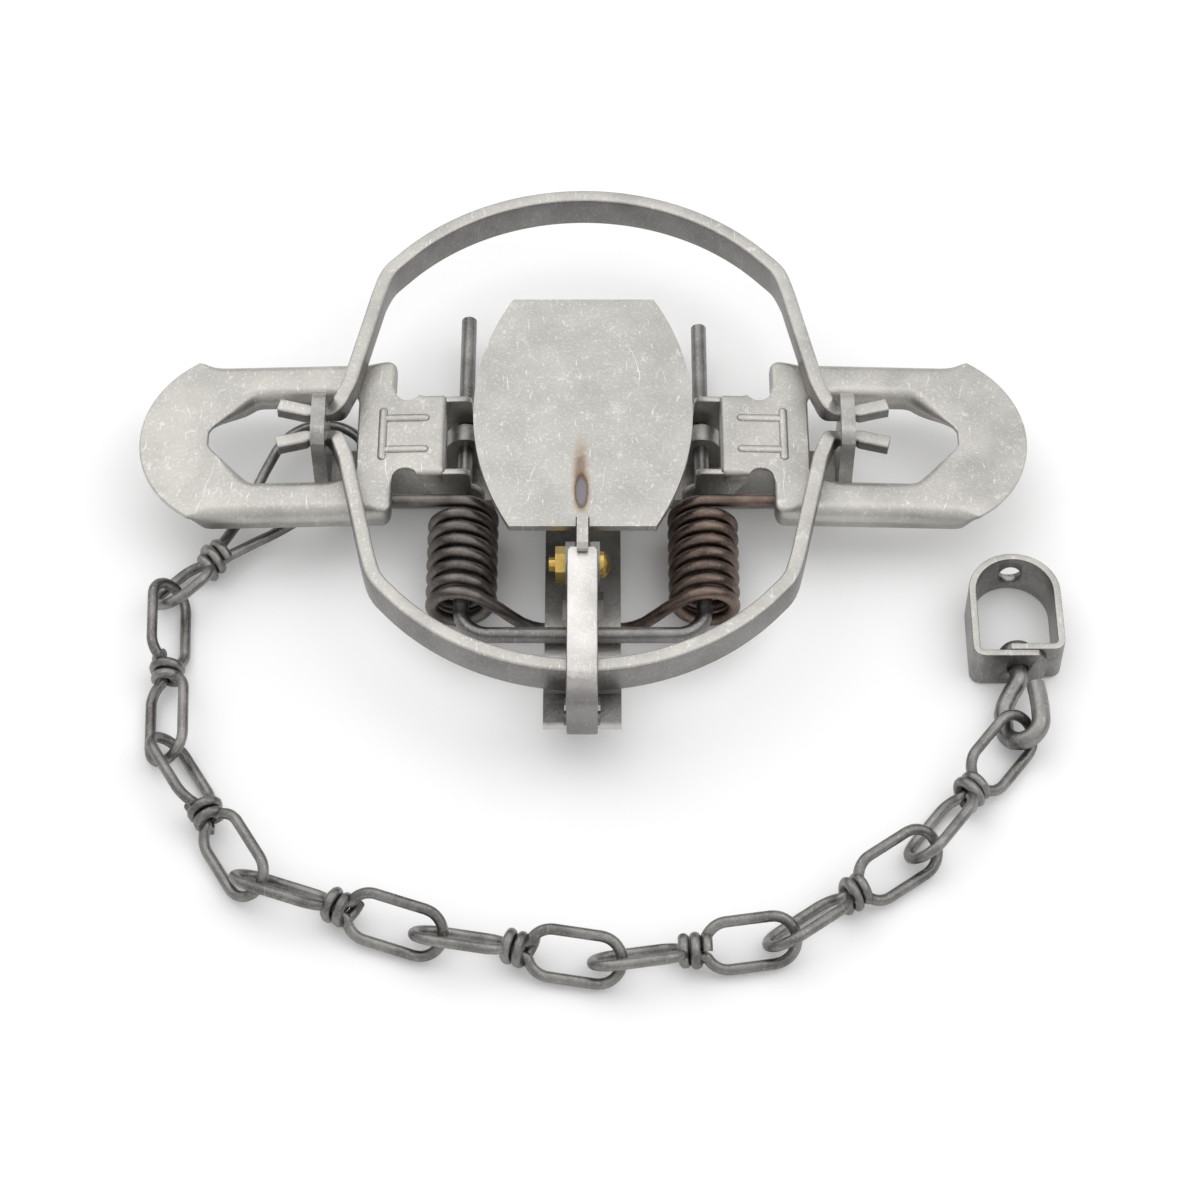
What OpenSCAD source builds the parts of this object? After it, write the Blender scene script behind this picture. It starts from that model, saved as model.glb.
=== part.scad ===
// Coil-spring foothold trap in the set position, with its chain and swivel.
// The jaws' hinge line runs along X, the pan's latch (the dog) is at the front (-Y), and z = 0 is the ground.

/* [Frame] */
// Width of the base strap
base_w = 16; // [14:0.5:18]
// Thickness of the base strap and its upturned posts
base_t = 3.5; // [3:0.1:4]
// Distance from the centre to the middle of each post
post_x = 67; // [64:0.5:70]
// Width of each post
post_w = 16; // [15:0.5:17]
// Height of the posts' top
post_top = 30; // [29:0.5:32]
// Width of the cross strap
cross_w = 19; // [17:0.5:21]
// Thickness of the cross strap
cross_t = 3.4; // [3:0.1:3.6]
// Diameter of the frame's rivets
rivet_d = 5; // [4:0.5:6]

/* [Jaws] */
// Height of the jaws' hinge axis
jaw_axis_z = 24.2; // [23.5:0.1:24.5]
// Distance of each jaw's hinge axis from the centre line
jaw_axis_y = 4; // [3.8:0.1:4.2]
// Diameter of the jaws' round ends
jaw_pin_d = 4.4; // [4:0.1:4.6]
// Thickness of the jaw strap
jaw_t = 3.7; // [3.2:0.1:4]
// Height of the jaw strap
jaw_h = 9.5; // [9:0.25:10]
// Height of the jaws' top edge above the hinge axis
jaw_rise = 3.6; // [3.2:0.1:3.8]
// Middle radius of the jaws' bow
bow_r = 62.4; // [60:0.2:64]
// Distance from the hinge axis to the centre of the bow
bow_y = 8.8; // [7:0.2:10]

/* [Springs] */
// Diameter of the spring rod
rod_d = 4; // [3.6:0.1:4.2]
// Distance from the centre to each leg of the spring rod
rod_x = 30.4; // [29:0.2:32]
// Height of the spring rod
rod_z = 9.8; // [9.6:0.1:10]
// Back end of the rod's left leg
rod_back_left = 46.5; // [40:0.5:50]
// Back end of the rod's right leg
rod_back_right = 44; // [40:0.5:50]
// Distance from the hinge line to the rod's front run
rod_front = 54.5; // [54:0.5:56]
// Diameter of the spring wire
wire_d = 3.2; // [2.8:0.1:3.3]
// Middle radius of the coil
coil_r = 7.4; // [7.2:0.1:7.6]
// Distance between neighbouring turns
coil_pitch = 4.05; // [3.9:0.05:4.1]
// Number of whole turns in a coil
coil_turns = 7; // [5:1:7]
// Distance from the hinge line to the first turn
coil_back = 18.4; // [18:0.1:19]

/* [Levers] */
// Distance from the centre to the tip of each lever
lever_tip = 113; // [108:0.5:116]
// Width of the wide part of a lever
lever_w = 45; // [44:0.5:48]
// Thickness of the lever sheet
lever_t = 2; // [1.6:0.1:2]
// Depth of the lever's turned-down sides
flange_h = 9.5; // [8:0.5:9.5]
// Inner end of the lever's wide part
lever_in = 47.8; // [46:0.2:49]
// Width of the lever's neck
neck_w = 25.6; // [24:0.2:26]
// Inner end of the neck's web
neck_in = 34.5; // [34.2:0.1:36]
// Height of the lever's web above the rod
web_rise = 11.9; // [11.8:0.1:12.5]
// Downward slope of the lever
lever_slope = 2; // [1:0.1:2.4]
// Inner end of the lever's opening
open_in = 57.2; // [56:0.2:58]
// Outer end of the lever's opening
open_out = 95.3; // [90:0.5:96]
// Width of the lever's opening
open_w = 27; // [26:0.5:28]

/* [Pan] */
// Length of the pan, back to front
pan_l = 73; // [66:0.5:75]
// Width of the pan at its middle
pan_w = 55.6; // [50:0.2:56]
// Width of the pan's back and front edges
pan_end_w = 36.4; // [32:0.2:40]
// Thickness of the pan
pan_t = 1.9; // [1.5:0.1:2.2]
// Height of the pan's top face
pan_top = 28.4; // [28:0.1:29]
// Distance from the hinge line to the pan's front edge
pan_front = 34.6; // [34:0.1:35.2]
// Thickness of the shank under the pan
shank_t = 2.8; // [2.4:0.1:3]
// Distance from the hinge line to the pan's pivot
pivot_y = 41; // [40.5:0.1:41.5]
// Height of the pan's pivot
pivot_z = 21; // [20.5:0.1:21.5]
// Diameter of the pan screw
screw_d = 3.5; // [3:0.1:4]

/* [Dog] */
// Width of the dog
dog_w = 7.6; // [7:0.1:8]
// Thickness of the dog
dog_t = 2; // [1.8:0.1:2.2]
// Distance from the hinge line to the dog's pivot
dog_y = 82.5; // [82:0.1:84]
// Height of the dog's pivot
dog_z = 15.2; // [15:0.1:15.5]
// Diameter of the dog's pivot bar
bar_d = 3.5; // [3:0.1:3.8]
// Height of the dog's underside
dog_under = 28.2; // [28.1:0.1:28.4]

/* [Chain] */
// Diameter of the chain wire
link_d = 2.7; // [2.4:0.1:3]
// Half the width of a link, at the wire's middle
link_half_w = 5.7; // [5.4:0.1:6]
// Height of the chain's middle above the ground
chain_z = 5.8; // [5.8:0.1:6.4]

/* [Swivel] */
// Width of the shackle's strap
shackle_w = 12.7; // [11:0.1:13]
// Thickness of the shackle's strap
shackle_t = 1.9; // [1.6:0.1:2.2]
// Outside width of the shackle
shackle_out = 23; // [21:0.5:25]
// Straight length of the shackle
shackle_l = 19.5; // [17:0.5:21]
// Diameter of the hole in the shackle's arch
shackle_hole = 5.6; // [4:0.1:6]
// Diameter of the swivel's stud
stud_d = 5; // [4.4:0.1:5.4]

/* [Hidden] */
$fn = 48;
// Radial clearance of a running fit
run_fit = 0.08;
// Clearance between pieces that pass each other
pass_gap = 0.5;
// Length by which a cutting body runs past a face
over = 1;
steel_bright = "#bdbab3";
steel_dark = "#5c5a57";
steel_spring = "#47423c";
steel_chain = "#8a8883";
brass = "#c9a63c";

// Posts and the holes that carry the jaws
post_in = post_x - base_t / 2;
post_out = post_x + base_t / 2;
hole_d = jaw_pin_d + 2 * run_fit;
// Loops of the base strap that hold the rod
loop_wall = 3;
loop_len = 5;
loop_y = base_w / 2 - loop_len / 2;
// Cross strap: the level run, the ramp and the ledge that carries the dog
cross_top = base_t + cross_t;
ramp_start = rod_front + rod_d + 3;
ledge_back = dog_y - 6;
ledge_front = dog_y + bar_d / 2 + 0.4;
ledge_z = dog_z - cross_t / 2;
slot_w = dog_w + 1.2;
// Pan post: a back wall with a slot and two side ears
ear_t = 2.4;
ear_gap = shank_t + 0.9;
post_wall_y = pivot_y - 4;
ear_front = pivot_y + 5.5;
ear_r = 4.2;
window_w = 2 * ear_t + ear_gap + 1.8;
// Jaw arms run straight from the hinge line to the bow
arm_foot = 61.4;
arm_drop = 3.1;
bow_join = 0.7 * bow_r;
join_x = sqrt(bow_r * bow_r - (bow_join - bow_y) * (bow_join - bow_y));
jaw_tip = 77.7;
// Rod bend radius at the front corners
rod_bend = 7;
// Spring arms
arm_out = 21;
leave_angle = 40;
// Pan outline: an arc on each side
pan_sag = (pan_w - pan_end_w) / 2;
pan_side_r = (pan_l * pan_l / 4 + pan_sag * pan_sag) / (2 * pan_sag);
pan_mid_y = pan_l / 2 - pan_front;
notch_w = shank_t + 0.6;
notch_l = 2.8;
// Dog: the tip lies under the shank's nose
dog_tip = pivot_y + 1.2;
dog_bend = dog_y + 4;
nose_end = dog_tip + 1.6;
dog_top = dog_under + dog_t;
// Swivel: the stud's axis, the eye and the shackle's place
stud_x = 107.8;
stud_z = shackle_w / 2;
shackle_front = -62.5;
eye_r = 6.2;
eye_y = -77;
stud_head_d = 9;
stud_head_t = 3;
// Chain: junctions where each link hangs in the next, the last one in the swivel's eye
JOINTS = [[-67, 0], [-104, -40], [-101.5, -85], [-79, -122], [-36, -137], [6, -144], [47, -138],
    [81.5, -113.5], [stud_x - 1, eye_y - 3.5]];
// Tilt of a link's two loops about the link's own axis, and how far a loop reaches past its junction
near_tilt = -50;
far_tilt = 40;
link_past = 3.5;
// Wider first loop that goes round the left post
post_loop_half = 12;
post_past = 8;
// Share of a link's length from its near junction to its knot; the first knot lies beyond the lever
knot_share = 0.5;
first_share = 0.72;
// Radius of the wrapped wire of a knot
knot_r = 3.1;

module along_x(x, y, z, d, h) {
    translate([x, y, z]) rotate([0, 90, 0]) cylinder(d = d, h = h);
}

module along_y(x, y, z, d, h) {
    translate([x, y, z]) rotate([-90, 0, 0]) cylinder(d = d, h = h);
}

// A flat outline drawn in Y and Z, extruded along X about the middle
module profile_x(w, x = 0) {
    translate([x - w / 2, 0, 0]) rotate([90, 0, 90]) linear_extrude(w) children();
}

module base_strap() {
    color(steel_dark) difference() {
        union() {
            translate([-post_out, -base_w / 2, 0]) cube([2 * post_out, base_w, base_t]);
            for (side = [-1, 1]) {
                translate([side * post_x - base_t / 2, -post_w / 2, 0]) cube([base_t, post_w, post_top - 3]);
                translate([side * post_x, 0, post_top - 4]) rotate([0, 90, 0])
                    translate([0, 0, -base_t / 2]) post_cap();
                rod_loop(side * rod_x);
            }
        }
        for (side = [-1, 1]) {
            for (y = [-jaw_axis_y, jaw_axis_y])
                along_x(side * post_x - base_t, y, jaw_axis_z, hole_d, 2 * base_t);
            along_y(side * rod_x, loop_y - loop_len, rod_z, rod_d + 2 * run_fit, 2 * loop_len);
        }
    }
}

// Rounded upper corners of a post
module post_cap() {
    linear_extrude(base_t) {
        for (y = [-1, 1]) translate([0, y * (post_w / 2 - 4)]) circle(d = 8);
        translate([-4, 4 - post_w / 2]) square([4, post_w - 8]);
        translate([0, -post_w / 2]) square([2, post_w]);
    }
}

// Loop of the strap that is pressed up over one leg of the rod
module rod_loop(x) {
    translate([x, loop_y + loop_len / 2, 0]) rotate([90, 0, 0]) linear_extrude(loop_len) {
        translate([0, rod_z]) circle(d = rod_d + 2 * loop_wall);
        translate([-rod_d / 2 - loop_wall, base_t / 2]) square([rod_d + 2 * loop_wall, rod_z - base_t / 2]);
    }
}

module cross_strap() {
    color(steel_dark) difference() {
        union() {
            profile_x(cross_w) polygon([[base_w / 2, base_t], [base_w / 2, cross_top],
                [-ramp_start, cross_top], [-ledge_back, ledge_z + cross_t], [-ledge_front, ledge_z + cross_t],
                [-ledge_front, ledge_z], [-ledge_back - 1, ledge_z], [-ramp_start - 1, base_t]]);
            pan_post();
        }
        translate([-slot_w / 2, -ledge_front - over, ledge_z - over])
            cube([slot_w, ledge_front + over - dog_y + 4.8, cross_t + 3 * over]);
        translate([-window_w / 2, -ear_front - 1.5, base_t - over])
            cube([window_w, ear_front + 1.5 - post_wall_y - ear_t, cross_t + 2 * over]);
        along_x(-cross_w, -pivot_y, pivot_z, screw_d + 2 * run_fit, 2 * cross_w);
        for (x = [-5.5, 5.5]) translate([x, 0, 0]) cylinder(d = rivet_d + 0.02, h = post_top);
    }
    color(steel_dark) along_x(-slot_w / 2, -dog_y, dog_z, bar_d, slot_w);
}

// Post of the pan: a slotted back wall with an ear on each side
module pan_post() {
    difference() {
        translate([-ear_gap / 2 - ear_t, -post_wall_y - ear_t, base_t])
            cube([ear_gap + 2 * ear_t, ear_t, pivot_z + ear_r - base_t]);
        translate([-ear_gap / 2, -post_wall_y - 2 * ear_t, cross_top + 4])
            cube([ear_gap, 3 * ear_t, post_top]);
    }
    for (x = [-1, 1]) profile_x(ear_t, x * (ear_gap + ear_t) / 2) {
        translate([-pivot_y - 1, pivot_z]) circle(r = ear_r);
        polygon([[-post_wall_y - 0.2, cross_top + 5], [-post_wall_y - 0.2, pivot_z + ear_r],
            [-pivot_y - 1, pivot_z + ear_r], [-ear_front + 0.3, pivot_z], [-ear_front + 2, pivot_z - 5]]);
    }
}

// Two rivets with flat heads clamp the straps together
module frame_rivets() {
    color(steel_dark) for (x = [-5.5, 5.5]) translate([x, 0, 0]) {
        translate([0, 0, base_t]) cylinder(d = rivet_d, h = cross_t);
        translate([0, 0, cross_top]) cylinder(d = rivet_d + 3, h = 1.4);
    }
}

module spring_rod() {
    corner = rod_front - rod_bend;
    color(steel_dark) {
        along_y(-rod_x, -corner, rod_z, rod_d, corner + rod_back_left);
        along_y(rod_x, -corner, rod_z, rod_d, corner + rod_back_right);
        along_x(-rod_x + rod_bend, -rod_front, rod_z, rod_d, 2 * (rod_x - rod_bend));
        for (side = [0, 1]) mirror([side, 0, 0]) translate([rod_x - rod_bend, -corner, rod_z])
            rotate([0, 0, -90]) rotate_extrude(angle = 90) translate([rod_bend, 0]) circle(d = rod_d);
    }
}

// Middle line of the left spring: outer arm, turns, then the inner arm that goes under the cross strap
steps = 8;
last_turn = 360 * coil_turns + leave_angle;
function coil_point(a) = [coil_r * sin(a), -coil_back - coil_pitch * a / 360, coil_r * cos(a)];
arm_y = -coil_back - coil_pitch * last_turn / 360 - 0.3;
tuck_z = base_t - wire_d / 2 - 0.15 - rod_z;
tuck_x = rod_x - cross_w / 2;
SPRING_LINE = concat(
    [[-arm_out, -coil_back, coil_r], [-arm_out + wire_d, -coil_back, coil_r], [-6, -coil_back, coil_r]],
    [for (i = [0 : steps * coil_turns]) coil_point(360 * i / steps)],
    [coil_point(last_turn), [tuck_x * 0.45, arm_y, 1.6], [tuck_x * 0.72, arm_y, tuck_z * 0.62],
        [tuck_x - 1.2, arm_y + 0.4, tuck_z], [tuck_x + 2.6, arm_y + 0.5, tuck_z]]);
clear_gap = min([for (i = [0 : len(SPRING_LINE) - 1], j = [0 : len(SPRING_LINE) - 1])
    if (j > i + steps / 2) norm(SPRING_LINE[i] - SPRING_LINE[j])]) - wire_d;
echo(spring_least_gap = clear_gap);

function unit(v) = v / norm(v);
function heading(p, i) = unit(p[min(i + 1, len(p) - 1)] - p[max(i - 1, 0)]);

// A closed tube with six sides along a line of points, with its rings square to the line
module tube(p, d, ref) {
    sides = 6;
    n = len(p);
    turn = 360 / sides;
    rings = [for (i = [0 : n - 1]) let (t = heading(p, i), u = unit(cross(t, ref)), w = cross(t, u))
        each [for (k = [0 : sides - 1]) p[i] + d / 2 * (cos(turn * k) * u + sin(turn * k) * w)]];
    walls = [for (i = [0 : n - 2], k = [0 : sides - 1])
        let (a = i * sides + k, b = i * sides + (k + 1) % sides)
        each [[a, a + sides, b], [b, a + sides, b + sides]]];
    caps = [for (k = [1 : sides - 2]) each [[0, k, k + 1],
        [(n - 1) * sides, (n - 1) * sides + k + 1, (n - 1) * sides + k]]];
    polyhedron(points = rings, faces = concat(walls, caps), convexity = 12);
}

module left_spring() {
    color(steel_spring) translate([-rod_x, 0, rod_z]) tube(SPRING_LINE, wire_d, [0, 1, 0]);
}

module right_spring() {
    color(steel_spring) mirror([1, 0, 0]) translate([-rod_x, 0, rod_z]) tube(SPRING_LINE, wire_d, [0, 1, 0]);
}

// Outline of a lever's web, with u measured outwards from the rod and v across
tip_u = lever_tip - rod_x;
in_u = lever_in - rod_x;
neck_u = neck_in - rod_x;
hole_in = open_in - rod_x;
hole_out = open_out - rod_x;
corner_r = lever_w / 2;

module web_outline() {
    translate([tip_u - corner_r, 0]) intersection() {
        circle(r = corner_r);
        translate([0, -lever_w / 2]) square([corner_r, lever_w]);
    }
    translate([in_u, -lever_w / 2]) square([tip_u - corner_r - in_u, lever_w]);
    translate([neck_u, -neck_w / 2]) square([in_u - neck_u + over, neck_w]);
}

module opening_outline() {
    taper = 11;
    flat = 5.5;
    polygon([[hole_in, -open_w / 2], [hole_out - taper, -open_w / 2], [hole_out, -flat / 2],
        [hole_out, flat / 2], [hole_out - taper, open_w / 2], [hole_in, open_w / 2]]);
}

// One lever as a right-hand one lies, with the rod's axis as its own origin
module lever() {
    flange_u = tip_u - corner_r;
    rotate([0, lever_slope, 0]) difference() {
        union() {
            translate([0, 0, web_rise - lever_t]) linear_extrude(lever_t) difference() {
                web_outline();
                opening_outline();
            }
            for (side = [-1, 1]) {
                translate([in_u, side * (lever_w - lever_t) / 2 - lever_t / 2, web_rise - flange_h])
                    cube([flange_u - in_u, lever_t, flange_h]);
                ear(side * (neck_w - lever_t) / 2);
                rail_edge(side);
            }
            ribs();
        }
        along_y(0, -lever_w, 0, rod_d + 2 * run_fit, 2 * lever_w);
    }
}

// Turned-down inner edge of a side rail
module rail_edge(side) {
    depth = 4;
    translate([hole_in, side * (open_w + lever_t) / 2 - lever_t / 2, web_rise - depth])
        cube([hole_out - 11 - hole_in, lever_t, depth]);
}

// Side of the neck, with a round ear on the rod
module ear(v) {
    ear_top = web_rise - 0.8;
    translate([0, v + lever_t / 2, 0]) rotate([90, 0, 0]) linear_extrude(lever_t) {
        circle(r = rod_d / 2 + 3.2);
        polygon([[-2.2, 0], [-2.2, ear_top], [neck_u, ear_top], [neck_u, web_rise], [in_u + over, web_rise],
            [in_u + over, web_rise - 5], [in_u - 5, web_rise - 6], [4, -3]]);
    }
}

// Stiffening ribs pressed up in the neck and the inner end of the web
module ribs() {
    rise = 0.8;
    rib_w = 2.6;
    translate([in_u + 3, -6.4, web_rise]) cube([rib_w, 12.8, rise]);
    for (v = [-4, 4]) translate([neck_u + 3, v - rib_w / 2, web_rise]) cube([in_u - neck_u, rib_w, rise]);
}

module left_lever() {
    color(steel_bright) translate([-rod_x, 0, rod_z]) mirror([1, 0, 0]) lever();
}

module right_lever() {
    color(steel_bright) translate([rod_x, 0, rod_z]) lever();
}

// Half of a jaw's bow and arm, in plan, with the hinge axis along X
module bow_outline() {
    difference() {
        translate([0, bow_y]) circle(r = bow_r + jaw_t / 2);
        translate([0, bow_y]) circle(r = bow_r - jaw_t / 2);
        translate([-2 * bow_r, bow_join - 4 * bow_r]) square([4 * bow_r, 4 * bow_r]);
    }
}

module arm_outline() {
    lap = 0.6;
    polygon([[arm_foot - jaw_t / 2, 0], [arm_foot + jaw_t / 2, 0],
        [join_x + jaw_t / 2, bow_join + lap], [join_x - jaw_t / 2, bow_join + lap]]);
    translate([arm_foot, 0]) circle(d = jaw_t);
    translate([arm_foot, -jaw_t / 2]) square([post_in - pass_gap - arm_foot, jaw_t]);
}

// A jaw as the back one lies: bow, arms, round ends in the posts and flared tips
module jaw() {
    translate([0, 0, jaw_rise - jaw_h]) linear_extrude(jaw_h) bow_outline();
    for (side = [0, 1]) mirror([side, 0, 0]) {
        translate([0, 0, -arm_drop]) linear_extrude(jaw_rise + arm_drop) arm_outline();
        along_x(post_in - pass_gap - 2, 0, 0, jaw_pin_d, post_out + 2.5 - post_in + 2 * pass_gap);
        translate([post_out + pass_gap, 0, 0]) rotate([0, 0, 14]) translate([0, -jaw_t / 2, -jaw_pin_d / 2])
            cube([jaw_tip - post_out - pass_gap, jaw_t, jaw_pin_d - 0.8]);
    }
}

module back_jaw() {
    color(steel_bright) translate([0, jaw_axis_y, jaw_axis_z]) jaw();
}

module front_jaw() {
    color(steel_bright) translate([0, -jaw_axis_y, jaw_axis_z]) mirror([0, 1, 0]) jaw();
}

// Latch: a strip over the front jaw whose turned-down end curls round the bar
module dog() {
    color(steel_bright) difference() {
        union() {
            translate([-dog_w / 2, -dog_bend, dog_under]) cube([dog_w, dog_bend - dog_tip, dog_t]);
            translate([-dog_w / 2, -dog_bend, dog_z]) cube([dog_w, dog_t, dog_top - dog_z]);
            along_x(-dog_w / 2, -dog_y, dog_z, 8, dog_w);
        }
        along_x(-dog_w, -dog_y, dog_z, bar_d + 2 * run_fit, 2 * dog_w);
        translate([0, -dog_tip + 0.6, dog_under - over]) cylinder(d = 3.2, h = dog_t + 2 * over);
    }
}

module pan_plate() {
    color(steel_bright) translate([0, pan_mid_y, pan_top - pan_t]) linear_extrude(pan_t) difference() {
        intersection() {
            square([pan_w, pan_l], center = true);
            translate([pan_w / 2 - pan_side_r, 0]) circle(r = pan_side_r, $fn = 120);
            translate([pan_side_r - pan_w / 2, 0]) circle(r = pan_side_r, $fn = 120);
        }
        translate([-notch_w / 2, -pan_l / 2 - over]) square([notch_w, notch_l + over]);
    }
}

// Upright plate welded under the pan, with its pivot and the nose that holds the dog
module pan_shank() {
    under_pan = pan_top - pan_t;
    notch_y = -pan_front + notch_l - 0.3;
    nose_z = dog_top + 0.3;
    color(steel_bright) difference() {
        union() {
            profile_x(shank_t) polygon([[-8, under_pan], [-8, under_pan - 2], [-28, pivot_z - 1],
                [-pivot_y, pivot_z - 3], [-pivot_y - 2, pivot_z + 3], [-dog_tip + 0.5, dog_under - 0.6],
                [-dog_tip + 1.4, dog_under - 0.3], [-dog_tip + 1.4, nose_z], [-nose_end, nose_z],
                [-nose_end, nose_z + 1.2], [-nose_end + 1.2, nose_z + 2.2], [notch_y - 1.5, nose_z + 2],
                [notch_y, nose_z], [notch_y, under_pan]]);
            along_x(-shank_t / 2, -pivot_y, pivot_z, 7.6, shank_t);
        }
        along_x(-shank_t, -pivot_y, pivot_z, screw_d + 2 * run_fit, 2 * shank_t);
    }
}

// Brass pivot screw with a round head on the right
ear_out = ear_gap / 2 + ear_t;
head_t = 2.6;
head_d = 6.6;
nut_t = 2.5;
module pan_screw() {
    color(brass) difference() {
        union() {
            along_x(-ear_out - nut_t - 1.6, -pivot_y, pivot_z, screw_d, 2 * ear_out + nut_t + 1.6);
            translate([ear_out, -pivot_y, pivot_z]) rotate([0, 90, 0]) intersection() {
                cylinder(d = head_d, h = head_t);
                translate([0, 0, -1.6]) sphere(d = 8.4);
            }
        }
        translate([ear_out + head_t - 0.9, -pivot_y - 4, pivot_z - 0.5]) cube([2, 8, 1]);
    }
}

module pan_nut() {
    color(brass) difference() {
        translate([-ear_out - nut_t, -pivot_y, pivot_z]) rotate([0, 90, 0])
            cylinder(d = 7.9 / cos(30), h = nut_t, $fn = 6);
        along_x(-ear_out - 2 * nut_t, -pivot_y, pivot_z, screw_d + 2 * run_fit, 3 * nut_t);
    }
}

// Middle line of the first loop, which is slim beside the lever and wide round the post
function post_line(reach, half_w) = concat(
    [[0.4, -1.5, 0], [3.5, -1.8, 0], [12, -4, 0], [reach - 2 * half_w, -0.75 * half_w, 0]],
    [for (a = [-90 : 30 : 90]) [reach - half_w + half_w * cos(a), half_w * sin(a), 0]],
    [[reach - 2 * half_w, 0.75 * half_w, 0], [12, 4, 0], [3.5, 1.8, 0], [0.4, 1.5, 0]]);
// Middle line of one wire loop, along +X from the knot, flat in X and Y
function loop_line(reach, half_w) = concat(
    [[0.4, -1.5, 0], [3.5, -1.8, 0], [5 + half_w / 2, -half_w, 0]],
    [for (a = [-90 : 30 : 90]) [reach - half_w + half_w * cos(a), half_w * sin(a), 0]],
    [[5 + half_w / 2, half_w, 0], [3.5, 1.8, 0], [0.4, 1.5, 0]]);
// Middle line of the wire that is wrapped round the knot
knot_turns = 2;
KNOT_LINE = [for (i = [0 : 8 * knot_turns]) [(i / 8 - knot_turns / 2) * (link_d + 0.45),
    knot_r * cos(45 * i), knot_r * sin(45 * i)]];

// A double-loop link: two loops set at right angles and the wrapped wire of the knot between them
module link(i) {
    p = JOINTS[i];
    q = JOINTS[i + 1];
    post_end = i == 0;
    share = post_end ? first_share : knot_share;
    knot = p + share * (q - p);
    turn = atan2(q[1] - p[1], q[0] - p[0]);
    near = share * norm(q - p);
    far = (1 - share) * norm(q - p) + link_past;
    near_line = post_end ? post_line(near + link_past + post_past, post_loop_half)
        : loop_line(near + link_past, link_half_w);
    color(steel_chain) translate([knot[0], knot[1], chain_z]) rotate([0, 0, turn]) {
        rotate([post_end ? 0 : near_tilt, 0, 0]) rotate([0, 0, 180]) tube(near_line, link_d, [0, 0, 1]);
        rotate([far_tilt, 0, 0]) tube(loop_line(far, link_half_w), link_d, [0, 0, 1]);
        tube(KNOT_LINE, link_d, [1, 0, 0]);
    }
}

module swivel_eye() {
    color(steel_chain) {
        translate([stud_x, eye_y, stud_z]) rotate([0, -30, 0]) rotate_extrude()
            translate([eye_r, 0]) circle(d = 4);
        along_y(stud_x, eye_y + eye_r, stud_z, stud_d, shackle_front + 2 * shackle_t - eye_y - eye_r + 0.6);
        along_y(stud_x, shackle_front + 2 * shackle_t + 0.4, stud_z, stud_head_d, stud_head_t);
        along_y(stud_x, shackle_front - 1.6 - pass_gap, stud_z, stud_head_d - 1.5, 1.6);
    }
}

// Strap bent to a D, with both ends lapped over the stud
module swivel_shackle() {
    arch_y = shackle_front + shackle_l;
    out_r = shackle_out / 2;
    color(steel_chain) difference() {
        translate([stud_x, 0, 0]) linear_extrude(shackle_w) {
            translate([0, arch_y]) difference() {
                circle(r = out_r);
                circle(r = out_r - shackle_t);
                translate([-shackle_out, -2 * shackle_out]) square([2 * shackle_out, 2 * shackle_out]);
            }
            for (x = [-out_r, out_r - shackle_t])
                translate([x, shackle_front]) square([shackle_t, shackle_l + 0.2]);
            translate([-out_r, shackle_front]) square([shackle_out, 2 * shackle_t]);
        }
        along_y(stud_x, shackle_front - over, stud_z, stud_d + 2 * run_fit, 4 * shackle_t);
        along_y(stud_x, arch_y + out_r - 3 * shackle_t, stud_z, shackle_hole, 4 * shackle_t);
    }
}

base_strap();
cross_strap();
frame_rivets();
spring_rod();
left_spring();
right_spring();
left_lever();
right_lever();
front_jaw();
back_jaw();
dog();
pan_plate();
pan_shank();
pan_screw();
pan_nut();
link(0);  // chain_link_1
link(1);  // chain_link_2
link(2);  // chain_link_3
link(3);  // chain_link_4
link(4);  // chain_link_5
link(5);  // chain_link_6
link(6);  // chain_link_7
link(7);  // chain_link_8
swivel_eye();
swivel_shackle();
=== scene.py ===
import math
import bpy
from mathutils import Matrix, Vector
from mathutils.geometry import delaunay_2d_cdt


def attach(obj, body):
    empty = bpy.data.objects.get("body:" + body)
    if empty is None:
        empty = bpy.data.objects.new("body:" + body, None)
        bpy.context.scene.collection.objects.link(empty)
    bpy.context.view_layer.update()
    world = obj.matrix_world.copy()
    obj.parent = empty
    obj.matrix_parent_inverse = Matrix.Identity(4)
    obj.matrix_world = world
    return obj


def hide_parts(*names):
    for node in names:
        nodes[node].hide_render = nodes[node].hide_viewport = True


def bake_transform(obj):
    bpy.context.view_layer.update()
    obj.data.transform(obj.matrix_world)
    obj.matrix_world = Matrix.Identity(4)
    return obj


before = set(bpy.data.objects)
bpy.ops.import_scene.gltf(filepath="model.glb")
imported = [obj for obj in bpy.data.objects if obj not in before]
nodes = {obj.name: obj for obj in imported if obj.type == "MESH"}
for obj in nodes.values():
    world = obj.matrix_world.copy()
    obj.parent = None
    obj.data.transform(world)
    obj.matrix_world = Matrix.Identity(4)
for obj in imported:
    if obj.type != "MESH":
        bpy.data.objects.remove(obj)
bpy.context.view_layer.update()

# Base strap
# One flat steel strap with both ends turned up as posts for the jaws, and two loops pressed up for the rod.
# It is plain rolled strap, mid grey and worn brighter along the edges.
MM = 0.001


def link_nodes(tree, *pairs):
    for out_socket, in_socket in pairs:
        tree.links.new(out_socket, in_socket)


def noise(tree, place, scale, detail=2, rough=0.5):
    cloud = tree.nodes.new("ShaderNodeTexNoise")
    cloud.inputs["Scale"].default_value = scale
    cloud.inputs["Detail"].default_value = detail
    cloud.inputs["Roughness"].default_value = rough
    tree.links.new(place, cloud.inputs["Vector"])
    return cloud


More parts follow.
